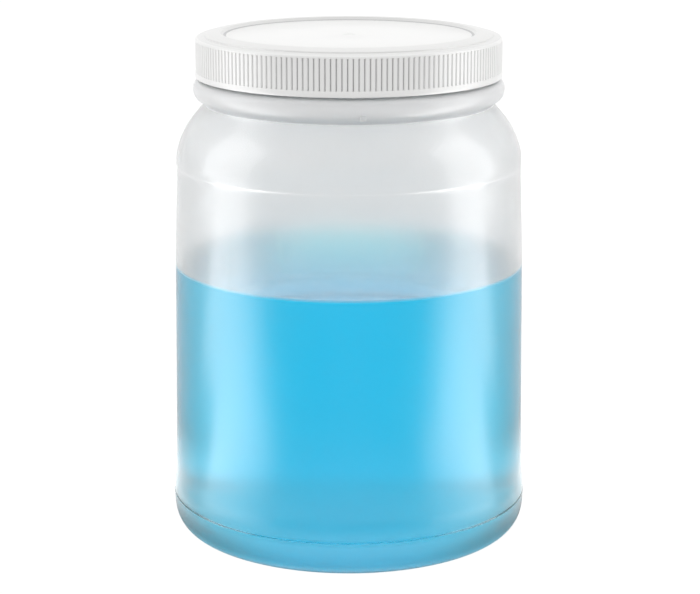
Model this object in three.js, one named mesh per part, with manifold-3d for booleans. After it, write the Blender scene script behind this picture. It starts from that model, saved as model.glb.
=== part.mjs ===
// A two-litre wide-mouth plastic jar: a blow-moulded translucent body, a white screw cap with a
// foam liner, and the blue liquid that fills the jar to just over half its height.
// Millimetres, +Z up, origin at the centre of the foot ring, on the surface the jar stands on.
import * as THREE from 'three';
import { mergeVertices } from 'three/addons/utils/BufferGeometryUtils.js';
import Module from 'manifold-3d';

// Driving dimensions.
const HEIGHT = 186;          // surface to the top of the cap's rim
const BASE_R = 66.4;         // widest radius, just above the foot
const SHOULDER_R = 63.4;     // widest radius of the shoulder, above the label panel
const FOOT_R = 58.5;         // outer edge of the flat ring that the jar stands on
const FOOT_WIDTH = 5.5;
const PUSH_UP = 3.2;         // rise of the hollow under the base
const WALL = 1.6;
const GAP = 0.3;             // left between pieces that touch
const LIQUID_Z = 100.5;

// Neck finish: a continuous thread of five turns to the inch.
const THREAD_PITCH = 25.4 / 5;
const THREAD_TURNS = 1.25;
const THREAD_DEPTH = 1.5;
const THREAD_ROOT_HALF = 1.2;
const THREAD_CREST_HALF = 0.5;
const THREAD_START = 2.4;    // middle of the thread's first end above the foot of the neck
const NECK_R = 52.7;         // outside of the neck, between the threads
const NECK_Z = 169.4;        // where the neck rises from its bead
const BEAD_R = 56.9;
const GROOVE_R = 53;

// Screw cap.
const CAP_R = 56.1;
const CAP_Z = 170;           // bottom edge of the skirt
const RIM_RISE = 1.2;        // rim above the centre panel
const PANEL_T = 1.8;
const SKIRT_T = 0.9;         // skirt between the ribs
const RIB_COUNT = 180;
const RIB_DEPTH = 0.4;
const LINER_T = 1.1;

// Worked out from the dimensions above.
const PANEL_Z = HEIGHT - RIM_RISE;
const CAP_CEILING_Z = PANEL_Z - PANEL_T;
const LINER_Z = CAP_CEILING_Z - GAP - LINER_T;
const LIP_Z = LINER_Z - GAP;
const BORE_R = NECK_R - WALL;
const CAP_BORE_R = NECK_R + THREAD_DEPTH + GAP;
const RIB_ROOT_R = CAP_BORE_R + SKIRT_T;
const NECK_THREAD_Z = NECK_Z + THREAD_START;
const FLANK_GAP = 0.4;       // along the axis, between a thread and the one that bears on it
const THREAD_OFFSET = THREAD_ROOT_HALF + THREAD_CREST_HALF + FLANK_GAP;

// Facets around each turned piece.
const JAR_SIDES = 52;
const CAP_SIDES = 72;
const THREAD_STEPS = 60;     // per turn

const wasm = await Module();
wasm.setup();

const plastic = (color, roughness) => new THREE.MeshStandardMaterial({ color, roughness, metalness: 0 });
const jarMaterial = new THREE.MeshStandardMaterial({
  color: 0xdfe3e5, roughness: 0.45, metalness: 0, transparent: true, opacity: 0.5,
});
const capMaterial = plastic(0xf4f4f4, 0.4);
const linerMaterial = plastic(0xf0efe9, 0.9);
const liquidMaterial = plastic(0x12b4e2, 0.1);

// A profile of [radius, height] points, revolved about Z.
function turned(profile, sides) {
  const points = profile.map(([r, z]) => new THREE.Vector2(r, z));
  return new THREE.LatheGeometry(points, sides).rotateX(Math.PI / 2);
}

// Points along part of an ellipse about (r, z), the short way between two angles in degrees.
function arc(r, z, radiusR, radiusZ, startAngle, endAngle, steps) {
  const start = THREE.MathUtils.degToRad(startAngle);
  const end = THREE.MathUtils.degToRad(endAngle);
  const curve = new THREE.EllipseCurve(r, z, radiusR, radiusZ, start, end, endAngle < startAngle);
  return curve.getPoints(steps).map((p) => [p.x, p.y]);
}

function toSolid(geometry) {
  const bare = geometry.clone();
  bare.deleteAttribute('normal');
  bare.deleteAttribute('uv');
  const merged = mergeVertices(bare, 1e-4);
  const vertProperties = new Float32Array(merged.attributes.position.array);
  const triVerts = new Uint32Array(merged.index.array);
  return new wasm.Manifold(new wasm.Mesh({ numProp: 3, vertProperties, triVerts }));
}

function toGeometry(solid) {
  const mesh = solid.getMesh();
  const geometry = new THREE.BufferGeometry();
  geometry.setAttribute('position', new THREE.BufferAttribute(new Float32Array(mesh.vertProperties), 3));
  geometry.setIndex(new THREE.BufferAttribute(new Uint32Array(mesh.triVerts), 1));
  geometry.computeVertexNormals();
  return geometry;
}

// A right-hand thread ridge that climbs from startZ. A positive depth stands out from a neck of
// radius wallR, a negative one stands into a bore. Both ends run out into the wall.
function threadRidge(wallR, depth, startZ, startTurn) {
  const buried = 0.4;
  const runOut = 0.08;       // part of the length over which each end fades
  const sunk = 0.1;          // part of the depth by which the very ends lie under the wall
  const steps = Math.round(THREAD_STEPS * THREAD_TURNS);
  const geometry = new THREE.BoxGeometry(1, 1, 1, 1, steps, 1);
  const position = geometry.attributes.position;
  for (let i = 0; i < position.count; i += 1) {
    const along = position.getY(i) + 0.5;
    const isCrest = position.getX(i) > 0 === depth > 0;
    const fade = Math.min(1, along / runOut, (1 - along) / runOut);
    const crestR = wallR + depth * ((1 + sunk) * fade - sunk);
    const radius = isCrest ? crestR : wallR - Math.sign(depth) * buried;
    const half = isCrest ? THREAD_CREST_HALF : THREAD_ROOT_HALF;
    const angle = 2 * Math.PI * (startTurn + along * THREAD_TURNS);
    const z = startZ + along * THREAD_TURNS * THREAD_PITCH + 2 * half * position.getZ(i);
    position.setXYZ(i, radius * Math.cos(angle), radius * Math.sin(angle), z);
  }
  return geometry;
}

// Inside of the jar, from the middle of its floor up to the bore of the neck.
function jarInside(topZ) {
  const floorZ = PUSH_UP + WALL;
  const footInR = FOOT_R - FOOT_WIDTH;
  const innerR = BASE_R - WALL;
  const wall = [
    [0, floorZ], [0.9 * footInR, floorZ - 0.5], [footInR, WALL + 0.3], [FOOT_R - 1.5, WALL],
    ...arc(FOOT_R - 1.5, 9.5, innerR - FOOT_R + 1.5, 9.5 - WALL, -60, 0, 3),
    [innerR - 0.9, 21], [innerR - 2.1, LIQUID_Z], [SHOULDER_R - WALL, 137.5],
    [60.1, 146.5], [56.6, 152.4], [52.6, 157.6], [GROOVE_R - WALL, 160.6],
    [BEAD_R - WALL - 0.8, 163.6], [BEAD_R - WALL, 165.8], [BORE_R, NECK_Z], [BORE_R, LIP_Z],
  ];
  return wall.filter(([, z]) => z <= topZ);
}

// Blow-moulded body: foot ring, rounded corner, slightly recessed label panel, round shoulder,
// a groove, a hollow bead under the cap, and the threaded neck.
function jar() {
  const footInR = FOOT_R - FOOT_WIDTH;
  const outside = [
    [0, PUSH_UP], [0.9 * footInR, PUSH_UP - 0.5], [footInR, 0], [FOOT_R, 0],
    ...arc(FOOT_R, 9.5, BASE_R - FOOT_R, 9.5, -72, 0, 4),
    [BASE_R - 0.2, 17], [BASE_R - 0.8, 21], [BASE_R - 2, LIQUID_Z], [SHOULDER_R - 0.2, 136.5],
    [SHOULDER_R, 139.5], [62.8, 144], [61.4, 148.4], [58.9, 152.8], [55.8, 156.6], [53.7, 158.9],
    [GROOVE_R, 160.4], [54.8, 161.7], [BEAD_R - 0.5, 163.3], [BEAD_R, 165.8],
    [BEAD_R - 0.6, 168], [BEAD_R - 2, 169], [NECK_R, NECK_Z], [NECK_R, LIP_Z],
  ];
  const profile = [...outside, ...jarInside(LIP_Z).reverse()];
  const body = toSolid(turned(profile, JAR_SIDES));
  const ridge = toSolid(threadRidge(NECK_R, THREAD_DEPTH, NECK_THREAD_Z, 0));
  return toGeometry(body.add(ridge));
}

// The contents: the inside of the jar up to the liquid's level, held off the wall by the gap.
function liquid() {
  const wall = jarInside(LIQUID_Z);
  const profile = wall.map(([r, z], i) => {
    const inwards = i === 0 ? 0 : GAP;
    const upwards = z < LIQUID_Z ? GAP : 0;
    return [r - inwards, z + upwards];
  });
  return turned([...profile, [0, LIQUID_Z]], JAR_SIDES);
}

// Foam disc that the cap presses on the lip of the neck.
function foamLiner() {
  const radius = CAP_BORE_R - 0.7;
  const topZ = LINER_Z + LINER_T;
  return turned([[0, LINER_Z], [radius, LINER_Z], [radius, topZ], [0, topZ]], CAP_SIDES);
}

// A ring of fine upright ribs, buried in the skirt behind them.
function capRibs() {
  const bottomZ = CAP_Z + 2.4;
  const topZ = PANEL_Z - 1;
  const innerR = CAP_BORE_R + SKIRT_T / 2;
  const valleyR = RIB_ROOT_R + 0.05;
  const section = [[innerR, bottomZ], [valleyR, bottomZ], [valleyR, topZ], [innerR, topZ + 0.3]];
  const geometry = turned([...section, section[0]], 2 * RIB_COUNT);
  const position = geometry.attributes.position;
  for (let i = 0; i < position.count; i += 1) {
    const radius = Math.hypot(position.getX(i), position.getY(i));
    const turn = Math.atan2(position.getY(i), position.getX(i)) / (2 * Math.PI);
    const isRidge = Math.abs(Math.round(turn * 2 * RIB_COUNT)) % 2 === 1;
    if (isRidge && radius > innerR + 0.1) {
      const scale = (valleyR + RIB_DEPTH) / radius;
      position.setX(i, position.getX(i) * scale);
      position.setY(i, position.getY(i) * scale);
    }
  }
  return geometry;
}

// Injection-moulded cap: a sunk centre panel with the dimple of its gate, a raised rim, the ribbed
// skirt with a plain band at its foot, and the thread inside.
function screwCap() {
  const gateR = 2.4;
  const gateZ = PANEL_Z - 0.3;
  const panelR = 45.2;
  const rimInR = 49.5;
  const rimOutR = 52.4;
  const cornerZ = PANEL_Z - 1.6;
  const bandZ = CAP_Z + 2.2;
  const bevel = 0.6;
  const profile = [
    [0, gateZ], [gateR - 0.2, gateZ], [gateR, PANEL_Z],
    [panelR, PANEL_Z], [rimInR, HEIGHT], [rimOutR, HEIGHT],
    ...arc(rimOutR, cornerZ, RIB_ROOT_R - rimOutR, HEIGHT - cornerZ, 60, 0, 3),
    [RIB_ROOT_R, bandZ + CAP_R - RIB_ROOT_R], [CAP_R, bandZ],
    [CAP_R, CAP_Z + bevel / 2], [CAP_R - bevel / 2, CAP_Z],
    [CAP_BORE_R + bevel, CAP_Z], [CAP_BORE_R, CAP_Z + bevel],
    [CAP_BORE_R, CAP_CEILING_Z - bevel], [CAP_BORE_R - bevel, CAP_CEILING_Z], [0, CAP_CEILING_Z],
  ];
  const shell = toSolid(turned(profile.reverse(), CAP_SIDES));
  const startTurn = 0.5;     // further along the helix than the neck's thread
  const startZ = NECK_THREAD_Z - THREAD_OFFSET + startTurn * THREAD_PITCH;
  const ridge = toSolid(threadRidge(CAP_BORE_R, -THREAD_DEPTH, startZ, startTurn));
  return toGeometry(shell.add(toSolid(capRibs())).add(ridge));
}

const bottle = new THREE.Group();

function addPiece(name, geometry, material) {
  const mesh = new THREE.Mesh(geometry, material);
  mesh.name = name;
  bottle.add(mesh);
}

addPiece('jar', jar(), jarMaterial);
addPiece('liquid', liquid(), liquidMaterial);
addPiece('foam_liner', foamLiner(), linerMaterial);
addPiece('screw_cap', screwCap(), capMaterial);

export default bottle;
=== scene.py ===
import math
import bpy
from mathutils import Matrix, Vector


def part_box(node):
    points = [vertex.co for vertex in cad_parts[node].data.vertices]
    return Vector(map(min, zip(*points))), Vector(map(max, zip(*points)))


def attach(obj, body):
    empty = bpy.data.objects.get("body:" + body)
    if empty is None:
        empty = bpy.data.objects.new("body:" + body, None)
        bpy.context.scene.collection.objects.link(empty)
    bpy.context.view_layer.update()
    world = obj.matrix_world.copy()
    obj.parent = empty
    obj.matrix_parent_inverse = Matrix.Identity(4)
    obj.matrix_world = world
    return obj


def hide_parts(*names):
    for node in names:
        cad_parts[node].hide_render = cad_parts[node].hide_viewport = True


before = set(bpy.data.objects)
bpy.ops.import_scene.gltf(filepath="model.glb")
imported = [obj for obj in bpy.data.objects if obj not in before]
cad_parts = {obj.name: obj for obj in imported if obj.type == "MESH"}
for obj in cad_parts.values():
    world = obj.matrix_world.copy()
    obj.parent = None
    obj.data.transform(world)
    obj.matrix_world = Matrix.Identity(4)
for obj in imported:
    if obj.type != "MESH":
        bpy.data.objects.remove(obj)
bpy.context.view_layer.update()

MM = 0.001

# ---------------------------------------------------------------------------------------------
# Jar.
# One blow-moulded piece of natural polypropylene: milky, translucent, with a satin skin from the
# mould. It has a pushed-up base, a faint ring where the base insert meets the mould, a slightly
# recessed label panel, a second ring under the round shoulder, and a hollow bead under the neck.
def arc(r, z, radius_r, radius_z, start, end, steps):
    """Points of (radius, height) along part of an ellipse about (r, z), angles in degrees."""
    angles = [math.radians(start + (end - start) * i / steps) for i in range(steps + 1)]
    return [(r + radius_r * math.cos(a), z + radius_z * math.sin(a)) for a in angles]


def turned(name, outline, steps):
    """A piece turned about Z from an outline of (radius, height) points in millimetres."""
    bpy.ops.object.select_all(action="DESELECT")
    bpy.ops.mesh.primitive_plane_add(size=MM)
    piece = bpy.context.object
    piece.name = name
    bpy.ops.object.mode_set(mode="EDIT")
    bpy.ops.mesh.select_mode(type="VERT")
    bpy.ops.mesh.select_all(action="SELECT")
    bpy.ops.mesh.merge(type="CENTER")
    bpy.ops.transform.translate(value=(outline[0][0] * MM, 0, outline[0][1] * MM))
    for (r0, z0), (r1, z1) in zip(outline, outline[1:]):
        step = ((r1 - r0) * MM, 0, (z1 - z0) * MM)
        bpy.ops.mesh.extrude_region_move(TRANSFORM_OT_translate={"value": step})
    bpy.ops.mesh.select_all(action="SELECT")
    bpy.ops.mesh.spin(steps=steps, angle=2 * math.pi, center=(0, 0, 0), axis=(0, 0, 1))
    bpy.ops.mesh.select_all(action="SELECT")
    bpy.ops.mesh.remove_doubles(threshold=0.002 * MM)
    bpy.ops.mesh.dissolve_degenerate(threshold=0.001 * MM)
    bpy.ops.mesh.select_all(action="SELECT")
    bpy.ops.mesh.normals_make_consistent(inside=False)
    bpy.ops.object.mode_set(mode="OBJECT")
    return piece


def apply_modifier(piece, kind, **settings):
    """Adds a modifier with its settings and applies it."""
    modifier = piece.modifiers.new(kind.lower(), kind)
    for setting, value in settings.items():
        setattr(modifier, setting, value)
    bpy.ops.object.select_all(action="DESELECT")
    bpy.context.view_layer.objects.active = piece
    piece.select_set(True)
    bpy.ops.object.modifier_apply(modifier=modifier.name)


def select_vertices(piece, chosen):
    """Goes into edit mode with only the vertices selected whose place is chosen."""
    for part in (*piece.data.polygons, *piece.data.edges):
        part.select = False
    for vertex in piece.data.vertices:
        vertex.select = bool(chosen(vertex.co))
    bpy.ops.object.select_all(action="DESELECT")
    bpy.context.view_layer.objects.active = piece
    piece.select_set(True)
    bpy.ops.object.mode_set(mode="EDIT")
    bpy.ops.mesh.select_mode(type="VERT")


def turn_about_z(degrees):
    """Turns what is selected counter-clockwise about Z, seen from above."""
    bpy.ops.transform.rotate(
        value=-math.radians(degrees), orient_axis="Z", orient_type="GLOBAL",
        center_override=(0, 0, 0))


def union(piece, part):
    """Melts a closed part into a piece."""
    apply_modifier(piece, "BOOLEAN", operation="UNION", solver="EXACT", object=part)
    bpy.data.objects.remove(part)


def smooth(piece, degrees):
    """Shades a piece smooth, with an edge kept sharp where it turns by more than an angle."""
    bpy.ops.object.select_all(action="DESELECT")
    bpy.context.view_layer.objects.active = piece
    piece.select_set(True)
    bpy.ops.object.shade_smooth_by_angle(angle=math.radians(degrees))


jar_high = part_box("jar")[1]
liquid_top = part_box("liquid")[1].z / MM
lip_z = jar_high.z / MM
base_r = jar_high.x / MM
shoulder_r = base_r - 3
neck_r = 52.7
mouth_r = 51.1
neck_foot = 160.3
bead_r = 56.3
bead_z = 163.1
corner_r = 60
corner_z = 9.5
wet_edge_r = base_r - 3.6
jar_wall = 1.6
jar_sides = 120

foot = [(0, 3.2), (26, 3.15), (44, 2.9), (51, 1.7), (54, 0.4), (55.2, 0), (59.2, 0)]
corner = arc(corner_r, corner_z, base_r - corner_r, corner_z, -80, 0, 7)
bottom_ring = [
    (base_r, 12), (base_r + 0.1, 12.5), (base_r + 0.22, 13.1), (base_r + 0.2, 13.25),
    (base_r - 0.06, 13.4), (base_r - 0.1, 14.4),
]
label_panel = [
    (base_r - 0.25, 17.5), (base_r - 0.65, 20), (base_r - 0.8, 22.5), (base_r - 1.2, 40),
    (base_r - 1.6, 70), (base_r - 1.97, liquid_top - 2), (base_r - 2, liquid_top),
    (base_r - 2.04, liquid_top + 2), (base_r - 2.6, 120), (shoulder_r - 0.25, 135),
]
upper_ring = [
    (shoulder_r - 0.25, 137), (shoulder_r - 0.2, 137.7), (shoulder_r + 0.03, 138.1),
    (shoulder_r - 0.03, 138.5), (shoulder_r, 140),
]
shoulder = [
    (shoulder_r - 0.2, 142.4), (62.4, 145.3), (61.2, 148.8), (58.9, 152.8), (55.9, 156.5),
    (54, 158.7), (53.1, 159.9),
]
bead = [
    (53.1, 160.6), (53.8, 161.2), (55.1, 161.9), (bead_r, bead_z), (56.9, 164.8), (56.9, 166.4),
    (56.4, 167.9), (55.3, 168.9), (53.9, 169.3),
]
neck = [
    (neck_r + 0.2, 169.5), (neck_r, 170.2), (neck_r, 175), (neck_r, lip_z - 0.9),
    (neck_r - 0.1, lip_z - 0.2), (neck_r - 0.4, lip_z),
]
jar_outside = foot + corner + bottom_ring + label_panel + upper_ring + shoulder + bead + neck

inside_neck = [
    (51.6, lip_z), (51.2, lip_z - 0.2), (mouth_r, lip_z - 0.9), (mouth_r, 175), (mouth_r, 170),
    (51.5, 169),
]
inside_bead = [
    (53.4, 167.9), (55, 166.7), (55.3, 165.4), (54.6, 163.9), (52.7, 162.8), (51.6, 161.6),
    (51.4, neck_foot),
]
inside_shoulder = [
    (52, 158.5), (54.5, 155.4), (57.5, 151.6), (59.7, 147.9), (61.1, 144.2),
    (shoulder_r - jar_wall, 139.5), (shoulder_r - 1.85, 135),
]
inside_wall = [
    (base_r - 4.2, 120), (wet_edge_r - 0.04, liquid_top + 2), (wet_edge_r, liquid_top),
    (wet_edge_r + 0.03, liquid_top - 2), (base_r - 3.2, 70), (base_r - 2.8, 40),
    (base_r - 2.4, 22.5), (base_r - 1.75, 16), (base_r - jar_wall, 12),
]
inside_corner = arc(
    corner_r, corner_z, base_r - corner_r - jar_wall, corner_z - jar_wall, 0, -80, 6)
inside_base = [(56.8, 1.65), (54, 2), (51, 3.4), (44, 4.5), (26, 4.75), (0, 4.8)]
jar_inside = (
    inside_neck + inside_bead + inside_shoulder + inside_wall + inside_corner + inside_base)
jar = turned("jar_body", jar_outside + jar_inside, jar_sides)
apply_modifier(jar, "SUBSURF", levels=1, render_levels=1)


def thread_ridge(name, wall_r, depth, start_z, start_degrees):
    """A closed right-hand thread on a wall of radius wall_r, five threads to the inch, which runs
    out at both ends. A negative depth stands inwards."""
    pitch = 25.4 / 5
    root_width = 2.4
    crest_width = 1.0
    buried = 0.4
    step_degrees = 10
    full_steps = 38
    run_out = [0.3, 0.6, 0.85, 1]
    sizes = run_out + [1] * full_steps + run_out[::-1]
    buried_r = wall_r - math.copysign(buried, depth)
    crest_r = wall_r + depth
    bpy.ops.object.select_all(action="DESELECT")
    bpy.ops.mesh.primitive_plane_add(
        size=MM, location=((buried_r + crest_r) / 2 * MM, 0, start_z * MM),
        rotation=(math.pi / 2, 0, 0))
    ridge = bpy.context.object
    ridge.name = name
    ridge.scale = (abs(crest_r - buried_r), root_width, 1)
    bpy.ops.object.transform_apply(location=True, rotation=True, scale=True)
    select_vertices(ridge, lambda spot: abs(spot.x / MM - crest_r) < 0.01)
    bpy.ops.transform.resize(value=(1, 1, crest_width / root_width))
    bpy.ops.mesh.select_all(action="SELECT")
    turn_about_z(start_degrees)
    angle = math.radians(start_degrees)
    height = start_z
    bpy.ops.transform.resize(value=(sizes[0],) * 3, center_override=(
        wall_r * MM * math.cos(angle), wall_r * MM * math.sin(angle), height * MM))
    for before, after in zip(sizes, sizes[1:]):
        rise = pitch * step_degrees / 360
        bpy.ops.mesh.extrude_region_move(TRANSFORM_OT_translate={"value": (0, 0, rise * MM)})
        turn_about_z(step_degrees)
        angle += math.radians(step_degrees)
        height += rise
        bpy.ops.transform.resize(value=(after / before,) * 3, center_override=(
            wall_r * MM * math.cos(angle), wall_r * MM * math.sin(angle), height * MM))
    bpy.ops.mesh.select_all(action="SELECT")
    bpy.ops.mesh.normals_make_consistent(inside=False)
    bpy.ops.object.mode_set(mode="OBJECT")
    return ridge


thread_depth = 1.5
union(jar, thread_ridge("neck_thread", neck_r, thread_depth, 171.8, 0))

# A small moulded mark, a raised square frame, stands on the lower slope of the bead.
mark_size = 2
mark_frame = 0.5
mark_recess = 0.45
mark_turn = math.radians(4.8)
mark_tilt = math.radians(118)
mark_place = Vector((bead_r * math.sin(mark_turn), -bead_r * math.cos(mark_turn), bead_z))
bpy.ops.object.select_all(action="DESELECT")
bpy.ops.mesh.primitive_cube_add(
    size=MM, location=mark_place * MM, rotation=(mark_tilt, 0, mark_turn))
mark = bpy.context.object
mark.name = "moulded_mark"
mark.scale = (mark_size, mark_size, 1)
bpy.ops.object.transform_apply(location=True, rotation=True, scale=True)
outwards = Vector((
    math.sin(mark_turn) * math.sin(mark_tilt), -math.cos(mark_turn) * math.sin(mark_tilt),
    math.cos(mark_tilt)))
select_vertices(mark, lambda spot: (spot / MM - mark_place).dot(outwards) > 0.3)
bpy.ops.mesh.select_mode(type="FACE")
bpy.ops.mesh.inset(thickness=mark_frame * MM)
bpy.ops.transform.translate(value=-mark_recess * MM * outwards)
bpy.ops.object.mode_set(mode="OBJECT")
union(jar, mark)


def linear(colour):
    """An sRGB hex colour as linear red, green, blue and alpha."""
    parts = [int(colour[i:i + 2], 16) / 255 for i in (1, 3, 5)]
    return (*[c / 12.92 if c <= 0.04045 else ((c + 0.055) / 1.055) ** 2.4 for c in parts], 1)


def node(tree, kind, inputs=(), **settings):
    """Adds a node with its settings, and links or sets its inputs."""
    added = tree.nodes.new(kind)
    for setting, value in settings.items():
        setattr(added, setting, value)
    for socket, value in dict(inputs).items():
        if isinstance(value, bpy.types.NodeSocket):
            tree.links.new(value, added.inputs[socket])
        else:
            added.inputs[socket].default_value = value
    return added


def new_material(name):
    """A material with an empty node tree."""
    material = bpy.data.materials.new(name)
    material.use_nodes = True
    material.node_tree.nodes.clear()
    return material


def polypropylene(name, roughness, clarity, ior):
    """Natural polypropylene: roughness is its skin's, and clarity the part of it that isn't milky.
    A blown wall is a little uneven over about 30 mm, which bends what is seen through it, and its
    satin skin is a little duller in some patches than in others, about 15 mm across."""
    material = new_material(name)
    tree = material.node_tree
    place = node(tree, "ShaderNodeTexCoord").outputs["Object"]
    sag = node(tree, "ShaderNodeTexNoise", {"Vector": place, "Scale": 1 / (30 * MM), "Detail": 1})
    sagged = node(tree, "ShaderNodeBump", {
        "Height": sag.outputs["Fac"], "Strength": 0.3, "Distance": 0.4 * MM})
    cloud = node(tree, "ShaderNodeMix", {
        "Factor": sag.outputs["Fac"], 6: linear("#F6F7F8"), 7: linear("#FDFDFD")},
        data_type="RGBA")
    patch = node(tree, "ShaderNodeTexNoise", {"Vector": place, "Scale": 1 / (15 * MM), "Detail": 1})
    skin = node(tree, "ShaderNodeMapRange", {
        "Value": patch.outputs["Fac"], "To Min": roughness * 0.9, "To Max": roughness * 1.1})
    plastic = node(tree, "ShaderNodeBsdfPrincipled", {
        "Base Color": cloud.outputs[2], "Roughness": skin.outputs["Result"], "IOR": ior,
        "Transmission Weight": clarity, "Normal": sagged.outputs["Normal"]})
    node(tree, "ShaderNodeOutputMaterial", {"Surface": plastic.outputs["BSDF"]})
    return material


# The same plastic looks milky where it is dry, milkier where the neck is thick, and clear where the
# liquid wets its inner skin and fills the fine roughness that scatters light.
for finish in (
    polypropylene("natural_polypropylene_satin", 0.3, 1.0, 1.42),
    polypropylene("natural_polypropylene_wetted", 0.05, 1.0, 1.42),
    polypropylene("natural_polypropylene_milky", 0.24, 0.84, 1.49),
    polypropylene("natural_polypropylene_milky_inside", 0.08, 0.86, 1.49),
    polypropylene("natural_polypropylene_thick_neck", 0.35, 0.3, 1.4),
):
    jar.data.materials.append(finish)
satin, wetted, milky, milky_inside, thick_neck = range(5)
base_underside_z = 6
for polygon in jar.data.polygons:
    z = polygon.center.z / MM
    faces_axis = polygon.normal.xy.dot(polygon.center.xy) < 0
    faces_up = polygon.normal.z > 0.3
    if z > neck_foot:
        polygon.material_index = thick_neck
    elif z > liquid_top:
        polygon.material_index = milky_inside if faces_axis else milky
    elif faces_up or (faces_axis and z > base_underside_z):
        polygon.material_index = wetted
    else:
        polygon.material_index = satin
smooth(jar, 50)
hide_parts("jar")
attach(jar, "bottle")

# ---------------------------------------------------------------------------------------------
# Liquid.
# A clear cyan solution, poured in to just over half the jar's height. It climbs the wall a little
# at its edge, and its mesh reaches a little into the wall, so that no air shows between them.
into_wall = 0.15
surface_z = liquid_top - 0.05
below_surface = [(r, z) for r, z in reversed(jar_inside) if z < liquid_top - 0.4]
liquid_wall = [(r + into_wall if r else 0, z - into_wall) for r, z in below_surface]
edge_r = wet_edge_r + into_wall
liquid_outline = liquid_wall + [
    (edge_r, liquid_top - 0.2), (edge_r, liquid_top + 0.5), (edge_r - 0.15, liquid_top + 0.6),
    (edge_r - 0.7, liquid_top + 0.2), (edge_r - 1.8, liquid_top), (edge_r - 4, surface_z),
    (30, surface_z), (0, surface_z),
]
liquid = turned("liquid_fill", liquid_outline, jar_sides)
apply_modifier(liquid, "SUBSURF", levels=1, render_levels=1)

# Water with a dye that takes out red, so it is deep cyan where it is thick and pale where it is
# thin. Faint swells about 25 mm long keep its surface from looking like a sheet of glass.
cyan_solution = new_material("clear_cyan_solution")
tree = cyan_solution.node_tree
place = node(tree, "ShaderNodeTexCoord").outputs["Object"]
ripple = node(tree, "ShaderNodeTexNoise", {"Vector": place, "Scale": 1 / (25 * MM), "Detail": 1})
rippled = node(tree, "ShaderNodeBump", {
    "Height": ripple.outputs["Fac"], "Strength": 0.2, "Distance": 0.1 * MM})
water = node(tree, "ShaderNodeBsdfPrincipled", {
    "Base Color": linear("#FFFFFF"), "Roughness": 0.0, "IOR": 1.33, "Transmission Weight": 1.0,
    "Normal": rippled.outputs["Normal"]})
dye = node(tree, "ShaderNodeVolumeAbsorption", {"Color": linear("#00F4FD"), "Density": 45.4})
node(tree, "ShaderNodeOutputMaterial", {
    "Surface": water.outputs["BSDF"], "Volume": dye.outputs["Volume"]})
liquid.data.materials.append(cyan_solution)
smooth(liquid, 60)
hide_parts("liquid")
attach(liquid, "bottle")

# ---------------------------------------------------------------------------------------------
# Screw cap.
# One injection-moulded piece of white polypropylene: a sunk panel with the dimple of its gate, a
# raised rim, fine upright ribs for grip, and a plain band round the foot of the skirt. A thread
# inside the skirt screws it onto the neck.
cap_low, cap_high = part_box("screw_cap")
cap_z = cap_low.z / MM
cap_top = cap_high.z / MM
band_r = cap_high.x / MM
cap_bore = 54.5
panel_r = 44.5
rim_r = 53
rib_root = band_r - 1.15
rib_crest = band_r - 0.35
rib_count = 180
columns_per_rib = 5
raised_columns = 4
panel_z = cap_top - 1.2
ceiling_z = panel_z - 1.8
rib_foot = cap_z + 2.1
rib_head = panel_z - 1.7

gate_dimple = [
    (0, panel_z - 0.3), (1.7, panel_z - 0.3), (2.1, panel_z - 0.26), (2.35, panel_z - 0.06),
    (2.6, panel_z),
]
panel = [
    (20, panel_z), (panel_r, panel_z), (panel_r + 0.3, panel_z - 0.15),
    (panel_r + 0.8, panel_z - 0.15), (panel_r + 1.2, panel_z + 0.2),
]
rim = [
    (46.3, cap_top - 0.2), (47, cap_top), (48, cap_top - 0.05), (50, cap_top - 0.4),
    (52, cap_top - 0.8), (52.3, cap_top - 0.9), (52.45, cap_top - 1.25), (52.8, cap_top - 1.35),
    *arc(rim_r, rib_head + 0.5, rib_crest - rim_r, 1.05, 80, 8, 6),
]
skirt = [
    (rib_crest, rib_head + 0.25), (rib_root, rib_head), (rib_root, rib_foot + 0.2),
    (rib_crest, rib_foot),
]
band = [
    (band_r - 0.25, cap_z + 1.9), (band_r - 0.15, cap_z + 1.6), (band_r - 0.15, cap_z + 0.4),
    (band_r - 0.25, cap_z + 0.1), (band_r - 0.5, cap_z),
]
bore = [
    (cap_bore + 0.6, cap_z), (cap_bore + 0.25, cap_z + 0.15), (cap_bore, cap_z + 0.7),
    (cap_bore, cap_z + 6), (cap_bore, ceiling_z - 0.8), (cap_bore - 0.2, ceiling_z - 0.2),
    (cap_bore - 0.8, ceiling_z), (20, ceiling_z), (0, ceiling_z),
]
cap_outline = gate_dimple + panel + rim + skirt + band + bore
cap = turned("screw_cap_shell", cap_outline, rib_count * columns_per_rib)


def on_rib(spot):
    """Whether a vertex is on the part of the skirt that a rib raises."""
    x, y, z = spot / MM
    column = round(math.degrees(math.atan2(y, x)) * rib_count * columns_per_rib / 360)
    on_skirt = abs(math.hypot(x, y) - rib_root) < 0.01 and rib_foot + 0.1 < z < rib_head + 0.1
    return on_skirt and column % columns_per_rib < raised_columns


rib_scale = rib_crest / rib_root
select_vertices(cap, on_rib)
bpy.ops.transform.resize(value=(rib_scale, rib_scale, 1), center_override=(0, 0, 0))
bpy.ops.object.mode_set(mode="OBJECT")
union(cap, thread_ridge("cap_thread", cap_bore, -thread_depth, 172.24, 180))

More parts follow.
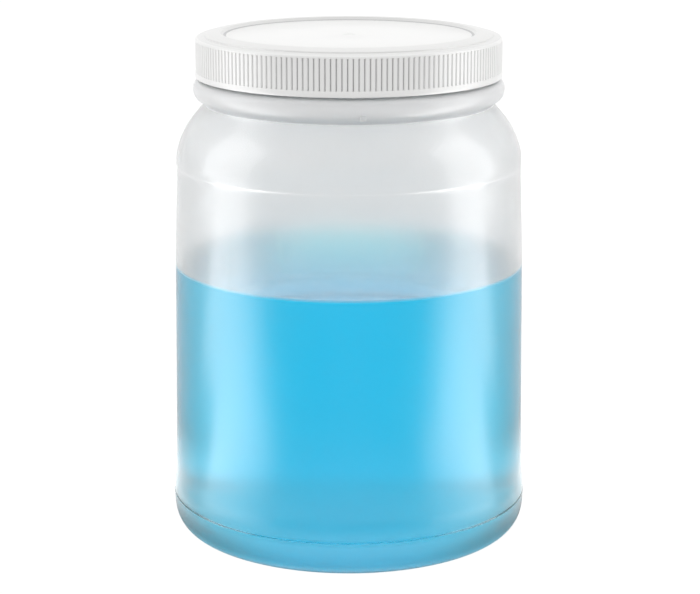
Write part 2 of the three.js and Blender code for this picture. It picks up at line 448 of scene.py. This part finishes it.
# Pigmented polypropylene from a finely etched mould has a soft gloss. Its grain is drawn at 0.7 mm,
# coarser than the real one, so that it shows. The grooves between the ribs, the rim and the step
# round the panel are a slightly greyer white, because less light reaches them.
white_polypropylene = new_material("white_polypropylene_moulded")
tree = white_polypropylene.node_tree
place = node(tree, "ShaderNodeTexCoord").outputs["Object"]
flow = node(tree, "ShaderNodeTexNoise", {"Vector": place, "Scale": 1 / (18 * MM), "Detail": 2})
grain = node(tree, "ShaderNodeTexNoise", {"Vector": place, "Scale": 1 / (0.7 * MM), "Detail": 2})
grained = node(tree, "ShaderNodeBump", {
    "Height": grain.outputs["Fac"], "Strength": 0.15, "Distance": 0.05 * MM})
white = node(tree, "ShaderNodeMix", {
    "Factor": flow.outputs["Fac"], 6: linear("#F3F3F2"), 7: linear("#F8F8F7")}, data_type="RGBA")
across = node(tree, "ShaderNodeVectorMath", {0: place, 1: (1, 1, 0)}, operation="MULTIPLY")
radius = node(tree, "ShaderNodeVectorMath", {0: across.outputs[0]}, operation="LENGTH")
out_of_groove = node(tree, "ShaderNodeMapRange", {
    "Value": radius.outputs["Value"], "From Min": rib_root * MM,
    "From Max": (rib_root * 0.4 + rib_crest * 0.6) * MM})
height = node(tree, "ShaderNodeSeparateXYZ", {"Vector": place}).outputs["Z"]
in_height = node(tree, "ShaderNodeMath", {
    0: height, 1: (rib_foot + rib_head) / 2 * MM, 2: (rib_head - rib_foot) / 2 * MM},
    operation="COMPARE")
outside = node(tree, "ShaderNodeMath", {
    0: radius.outputs["Value"], 1: (rib_root - 0.2) * MM}, operation="GREATER_THAN")
grooved = node(tree, "ShaderNodeMath", {
    0: in_height.outputs[0], 1: outside.outputs[0]}, operation="MULTIPLY")
dark = node(tree, "ShaderNodeMath", {0: 1.0, 1: out_of_groove.outputs[0]}, operation="SUBTRACT")
shaded = node(tree, "ShaderNodeMath", {
    0: grooved.outputs[0], 1: dark.outputs[0]}, operation="MULTIPLY")
white = node(tree, "ShaderNodeMix", {
    "Factor": shaded.outputs[0], 6: white.outputs[2], 7: linear("#C8C8C9")}, data_type="RGBA")
on_top = node(tree, "ShaderNodeMath", {
    0: height, 1: (panel_z - 0.5) * MM}, operation="GREATER_THAN")
past_panel = node(tree, "ShaderNodeMapRange", {
    "Value": radius.outputs["Value"], "From Min": (panel_r - 0.1) * MM,
    "From Max": (panel_r + 0.9) * MM})
panel_edge = node(tree, "ShaderNodeMath", {
    0: radius.outputs["Value"], 1: (panel_r + 0.6) * MM, 2: 0.5 * MM}, operation="COMPARE")
for zone, colour in ((past_panel, "#E9E9E8"), (panel_edge, "#C8C8C9")):
    tinted = node(tree, "ShaderNodeMath", {
        0: on_top.outputs[0], 1: zone.outputs[0]}, operation="MULTIPLY")
    white = node(tree, "ShaderNodeMix", {
        "Factor": tinted.outputs[0], 6: white.outputs[2], 7: linear(colour)}, data_type="RGBA")
skin = node(tree, "ShaderNodeMapRange", {
    "Value": flow.outputs["Fac"], "To Min": 0.3, "To Max": 0.38})
shell = node(tree, "ShaderNodeBsdfPrincipled", {
    "Base Color": white.outputs[2], "Roughness": skin.outputs["Result"], "IOR": 1.49,
    "Normal": grained.outputs["Normal"]})
node(tree, "ShaderNodeOutputMaterial", {"Surface": shell.outputs["BSDF"]})
cap.data.materials.append(white_polypropylene)
smooth(cap, 30)
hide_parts("screw_cap")
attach(cap, "cap")

# ---------------------------------------------------------------------------------------------
# Foam liner.
# A disc of white polyethylene foam, punched from sheet and pressed into the top of the cap. The
# lip of the jar has left a shallow ring in its underside.
liner_low, liner_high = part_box("foam_liner")
liner_z = liner_low.z / MM
liner_top = liner_high.z / MM
liner_r = liner_high.x / MM
liner_outline = [
    (0, liner_z), (49.6, liner_z), (50.4, liner_z + 0.05), (50.9, liner_z + 0.16),
    (51.4, liner_z + 0.2), (52.2, liner_z + 0.2), (52.7, liner_z + 0.14), (53.1, liner_z + 0.02),
    (liner_r - 0.25, liner_z + 0.02), (liner_r - 0.05, liner_z + 0.12), (liner_r, liner_z + 0.3),
    (liner_r, liner_top - 0.25), (liner_r - 0.08, liner_top - 0.06), (liner_r - 0.3, liner_top),
    (20, liner_top), (0, liner_top),
]
liner_sides = 144
liner = turned("foam_liner_disc", liner_outline, liner_sides)

# Closed cells about 0.9 mm across give the foam a matt, finely pitted face. They are a little
# coarser than the real ones, so that they show.
polyethylene_foam = new_material("white_polyethylene_foam")
tree = polyethylene_foam.node_tree
place = node(tree, "ShaderNodeTexCoord").outputs["Object"]
cells = node(tree, "ShaderNodeTexVoronoi", {"Vector": place, "Scale": 1 / (0.9 * MM)})
celled = node(tree, "ShaderNodeBump", {
    "Height": cells.outputs["Distance"], "Strength": 0.5, "Distance": 0.12 * MM})
speckle = node(tree, "ShaderNodeMix", {
    "Factor": cells.outputs["Distance"], 6: linear("#F4F4F1"), 7: linear("#E4E4E0")},
    data_type="RGBA")
foam = node(tree, "ShaderNodeBsdfPrincipled", {
    "Base Color": speckle.outputs[2], "Roughness": 0.85, "IOR": 1.45,
    "Normal": celled.outputs["Normal"]})
node(tree, "ShaderNodeOutputMaterial", {"Surface": foam.outputs["BSDF"]})
liner.data.materials.append(polyethylene_foam)
smooth(liner, 40)
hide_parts("foam_liner")
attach(liner, "liner")

# ---------------------------------------------------------------------------------------------
# Camera.
# It stands a little above the lid and looks slightly down on the jar through a long lens, so
# that the top of the cap shows as a flat ellipse.
look_down = 14.26
camera_data = bpy.data.cameras.new("camera")
camera_data.lens = 106.0
camera = bpy.data.objects.new("camera", camera_data)
camera.location = (0.0004, -0.749, 0.2767)
camera.rotation_euler = (math.radians(90 - look_down), 0, 0)
bpy.context.collection.objects.link(camera)
bpy.context.scene.camera = camera
bpy.context.scene.view_settings.view_transform = "Standard"

# ---------------------------------------------------------------------------------------------
# Studio.
# A white room round the jar: a glowing white floor and walls, dimmer to the front and back than at
# the sides and overhead, and a tall soft strip on each side that draws a pale band down the jar.
def room_light(tree, shade, gloss, clear):
    """The light that a white wall gives: shade to matt surfaces, gloss to glossy ones, and clear
    to clear ones."""
    ray = node(tree, "ShaderNodeLightPath").outputs
    to_matt = node(tree, "ShaderNodeMix", {"Factor": ray["Is Diffuse Ray"], "A": 1.0, "B": shade})
    to_glossy = node(tree, "ShaderNodeMix", {
        "Factor": ray["Is Glossy Ray"], "A": to_matt.outputs[0], "B": gloss})
    return node(tree, "ShaderNodeMix", {
        "Factor": ray["Is Transmission Ray"], "A": to_glossy.outputs[0], "B": clear}).outputs[0]


floor_size = 40
bpy.ops.mesh.primitive_plane_add(size=floor_size)
floor = bpy.context.object
floor.name = "studio_floor"
white_floor = new_material("white_acrylic_floor")
tree = white_floor.node_tree
place = node(tree, "ShaderNodeTexCoord").outputs["Object"]
depth = node(tree, "ShaderNodeSeparateXYZ", {"Vector": place}).outputs["Y"]
away = node(tree, "ShaderNodeMath", {0: depth}, operation="ABSOLUTE")
shade = node(tree, "ShaderNodeMapRange", {
    "Value": away.outputs[0], "From Min": 0.05, "From Max": 0.4, "To Min": 0.9, "To Max": 0.6})
behind = node(tree, "ShaderNodeMapRange", {
    "Value": depth, "From Min": -0.05, "From Max": 0.12, "To Min": 0.0, "To Max": 1.2})
distance = node(tree, "ShaderNodeVectorMath", {0: place}, operation="LENGTH")
under = node(tree, "ShaderNodeMapRange", {
    "Value": distance.outputs["Value"], "From Min": 0.068, "From Max": 0.095, "To Min": 0.6,
    "To Max": 2.8})
glow = node(tree, "ShaderNodeMapRange", {
    "Value": distance.outputs["Value"], "From Min": 0.095, "From Max": 0.21,
    "To Min": under.outputs[0], "To Max": 0.0})
gloss = node(tree, "ShaderNodeMath", {0: behind.outputs[0], 1: glow.outputs[0]},
             operation="MAXIMUM")
straight = node(tree, "ShaderNodeMapRange", {
    "Value": depth, "From Min": -0.25, "From Max": -0.07, "To Min": 0.65, "To Max": 1.04})
sideways = node(tree, "ShaderNodeMath", {
    0: node(tree, "ShaderNodeSeparateXYZ", {"Vector": place}).outputs["X"]}, operation="ABSOLUTE")
near = node(tree, "ShaderNodeMapRange", {
    "Value": away.outputs[0], "From Min": 0.3, "From Max": 0.45, "To Min": 0.78, "To Max": 1.0})
spread = node(tree, "ShaderNodeMapRange", {
    "Value": sideways.outputs[0], "From Min": 0.02, "From Max": 0.1, "To Min": 1.0,
    "To Max": near.outputs[0]})
clear = node(tree, "ShaderNodeMath", {0: straight.outputs[0], 1: spread.outputs[0]},
             operation="MULTIPLY")
sheet = node(tree, "ShaderNodeBsdfPrincipled", {
    "Base Color": linear("#3F3F3F"), "Roughness": 1.0, "Specular IOR Level": 0.0,
    "Emission Color": linear("#FFFFFF"),
    "Emission Strength": room_light(
        tree, shade.outputs[0], gloss.outputs[0], clear.outputs[0])})
node(tree, "ShaderNodeOutputMaterial", {"Surface": sheet.outputs["BSDF"]})
white_floor.cycles.emission_sampling = "NONE"
floor.data.materials.append(white_floor)


def softbox(name, location, rotation, width, height, watts):
    """A rectangular soft light, which clear surfaces don't see."""
    light = bpy.data.lights.new(name, "AREA")
    light.shape = "RECTANGLE"
    light.size = width
    light.size_y = height
    light.energy = watts
    lamp = bpy.data.objects.new(name, light)
    lamp.location = location
    lamp.rotation_euler = [math.radians(angle) for angle in rotation]
    lamp.visible_transmission = False
    bpy.context.collection.objects.link(lamp)
    return lamp


for side in (-1, 1):
    strips = (
        softbox(f"far_strip_{side}", (side * 0.54, -0.1, 0.002), (180, 0, 0), 0.52, 0.32, 3.7),
        softbox(f"near_strip_{side}", (side * 0.2, -0.085, 0.002), (180, 0, 0), 0.16, 0.14, 0.5),
        softbox(f"wall_strip_{side}", (side * 0.8, -0.06, 0.46), (90, 0, side * 90), 0.6, 0.9, 6),
    )
    for strip in strips:
        strip.visible_diffuse = False
overhead = softbox("overhead_light", (0, 0, 1.2), (0, 0, 0), 1.0, 1.0, 0.3)
overhead.visible_glossy = False

world = bpy.data.worlds.new("studio")
bpy.context.scene.world = world
world.use_nodes = True
world.cycles.sampling_method = "NONE"
tree = world.node_tree
tree.nodes.clear()
way = node(tree, "ShaderNodeTexCoord").outputs["Generated"]
depth = node(tree, "ShaderNodeSeparateXYZ", {"Vector": way}).outputs["Y"]
away = node(tree, "ShaderNodeMath", {0: depth}, operation="ABSOLUTE")
shade = node(tree, "ShaderNodeMapRange", {
    "Value": away.outputs[0], "From Min": 0.2, "From Max": 0.9, "To Min": 1.02, "To Max": 0.8})
gloss = node(tree, "ShaderNodeMapRange", {
    "Value": depth, "From Min": -0.3, "From Max": 0.4, "To Min": 0.0, "To Max": 1.2})
clear = node(tree, "ShaderNodeMapRange", {
    "Value": depth, "From Min": -0.5, "From Max": 0.2, "To Min": 1.0, "To Max": 1.35})
room = node(tree, "ShaderNodeBackground", {
    "Color": linear("#FFFFFF"),
    "Strength": room_light(tree, shade.outputs[0], gloss.outputs[0], clear.outputs[0])})
node(tree, "ShaderNodeOutputWorld", {"Surface": room.outputs["Background"]})
